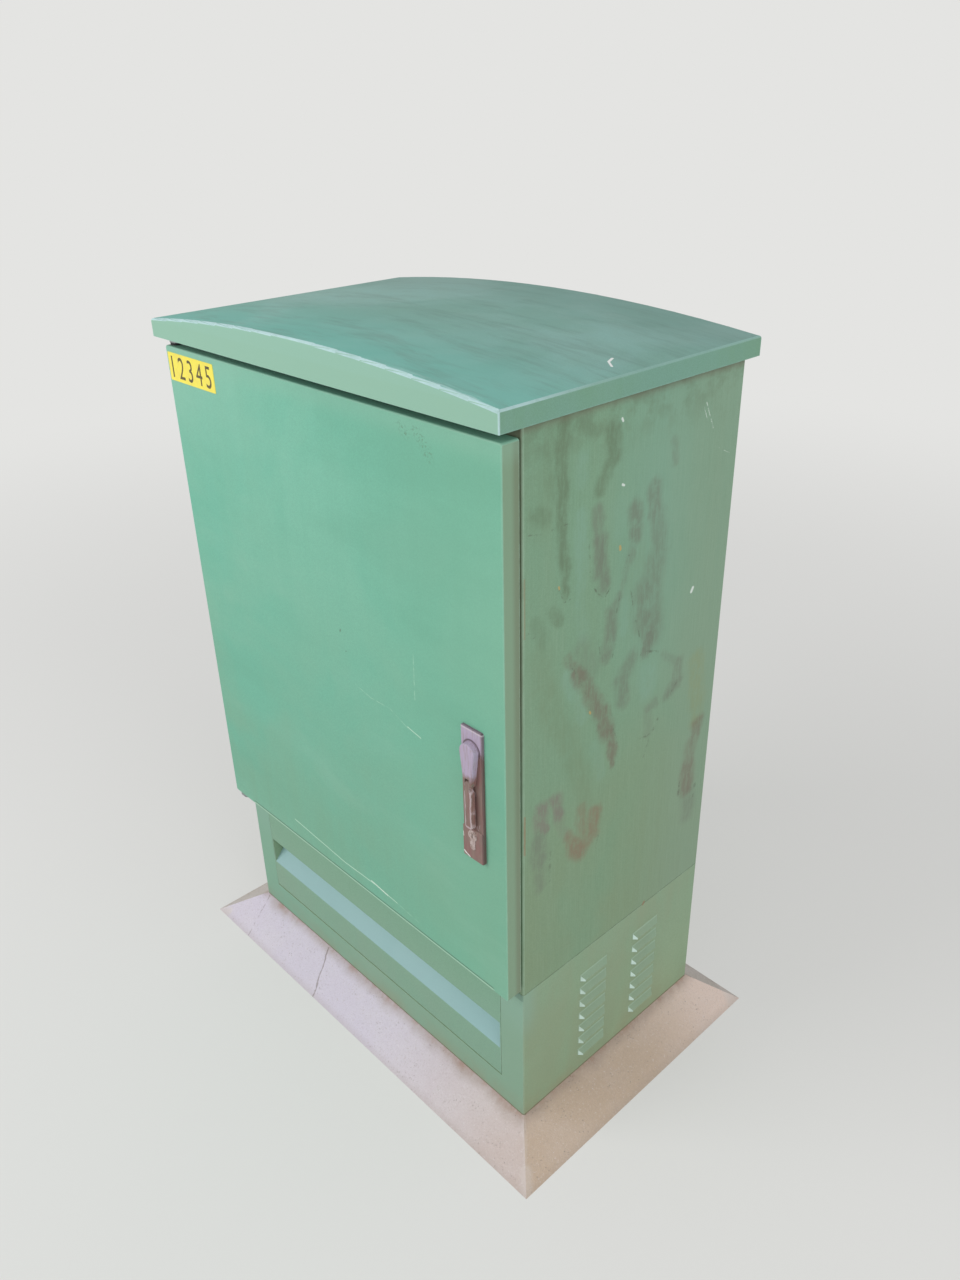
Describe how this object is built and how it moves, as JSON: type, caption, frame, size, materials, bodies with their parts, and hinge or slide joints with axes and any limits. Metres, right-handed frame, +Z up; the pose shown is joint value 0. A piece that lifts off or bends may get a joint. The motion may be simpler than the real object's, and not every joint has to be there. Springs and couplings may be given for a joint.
{
  "type": "utility cabinet",
  "caption": "Roadside utility cabinet of folded sheet with an arched roof lid, a hinged door with a swing handle and rod lock, and a louvred plinth on a sloped concrete base.",
  "frame": {"origin": "middle of the concrete base's underside, on the ground", "axes": "+Z up, the door faces -Y, +X to the right seen from the front"},
  "size_m": [0.91, 0.576, 1.25],
  "materials": {
    "grey_green_paint": "satin, weathered",
    "concrete": "rough",
    "galvanised_sheet": "dull spangle",
    "zinc_plated_steel": "satin",
    "faded_handle_coating": "worn, chalky",
    "worn_brass": "dull",
    "black_rubber": "matte",
    "black_plastic": "matte",
    "cream_plastic": "satin",
    "brown_resin": "satin"
  },
  "bodies": {
    "cabinet": {"concrete_base": "concrete", "anchor_studs": "zinc_plated_steel", "anchor_washers": "zinc_plated_steel", "anchor_nuts": "zinc_plated_steel", "plinth_frame": "grey_green_paint", "plinth_cover": "grey_green_paint", "plinth_cover_screws": "zinc_plated_steel", "side_panel_left": "grey_green_paint", "side_panel_right": "grey_green_paint", "back_panel": "galvanised_sheet", "back_panel_screws": "zinc_plated_steel", "sill_rail": "galvanised_sheet", "top_plate": "galvanised_sheet", "body_bolts": "zinc_plated_steel", "body_nuts": "zinc_plated_steel", "roof_lid": "grey_green_paint", "roof_bearers": "galvanised_sheet", "roof_bolts": "zinc_plated_steel", "floor_plate_front": "galvanised_sheet", "floor_plate_rear": "galvanised_sheet", "cable_slot_trims": "black_rubber", "lower_cross_bar": "galvanised_sheet", "upper_cross_bar": "galvanised_sheet", "cable_tie_bar": "galvanised_sheet", "channel_screws": "zinc_plated_steel", "earth_bar": "worn_brass", "earth_bar_insulators": "brown_resin", "earth_bar_screws": "zinc_plated_steel", "lower_hinge_bracket": "galvanised_sheet", "upper_hinge_bracket": "galvanised_sheet", "lower_hinge_pin": "zinc_plated_steel", "upper_hinge_pin": "zinc_plated_steel", "mounting_channel_1": "galvanised_sheet", "mounting_channel_2": "galvanised_sheet", "mounting_channel_3": "galvanised_sheet", "connection_blocks_1": "cream_plastic", "connection_blocks_2": "cream_plastic", "connection_blocks_3": "cream_plastic"},
    "door": {"door": "grey_green_paint", "door_stiffeners": "galvanised_sheet", "door_seal": "black_rubber", "lower_hinge_bush": "black_plastic", "upper_hinge_bush": "black_plastic", "handle_plate": "faded_handle_coating", "handle_plate_screws": "zinc_plated_steel", "lock_cylinder": "worn_brass", "lock_case": "zinc_plated_steel", "lock_case_cover": "zinc_plated_steel", "lock_case_screws": "zinc_plated_steel", "upper_rod_guide": "galvanised_sheet", "lower_rod_guide": "galvanised_sheet"},
    "spindle": {"handle_spindle": "faded_handle_coating", "lock_pinion": "zinc_plated_steel", "lever_pin": "zinc_plated_steel"},
    "lever": {"handle_lever": "faded_handle_coating"},
    "plug": {"key_plug": "worn_brass"},
    "upper_rod": {"upper_lock_rod": "zinc_plated_steel"},
    "lower_rod": {"lower_lock_rod": "zinc_plated_steel"}
  },
  "joints": [
    {"name": "door_swing", "type": "hinge", "parent": "cabinet", "child": "door", "pos_m": [-0.364, -0.231, 0.7595], "axis": [0, 0, -1], "range_deg": [0, 120]},
    {"name": "handle_turn", "type": "hinge", "parent": "door", "child": "spindle", "pos_m": [0.3155, -0.231, 0.756], "axis": [0, 1, 0], "range_deg": [0, 90]},
    {"name": "lever_lift", "type": "hinge", "parent": "spindle", "child": "lever", "pos_m": [0.3155, -0.2553, 0.706], "axis": [-1, 0, 0], "range_deg": [0, 30]},
    {"name": "key_turn", "type": "hinge", "parent": "door", "child": "plug", "pos_m": [0.3155, -0.24, 0.615], "axis": [0, 1, 0], "range_deg": [0, 90]},
    {"name": "upper_rod_slide", "type": "slide", "parent": "door", "child": "upper_rod", "axis": [0, 0, -1], "range_m": [0, 0.01649]},
    {"name": "lower_rod_slide", "type": "slide", "parent": "door", "child": "lower_rod", "axis": [0, 0, 1], "range_m": [0, 0.0165]}
  ],
  "couplings": [
    {"joint": "handle_turn", "follows": "upper_rod_slide", "rad_per_m": 95.238},
    {"joint": "lower_rod_slide", "follows": "upper_rod_slide", "ratio": 1}
  ]
}
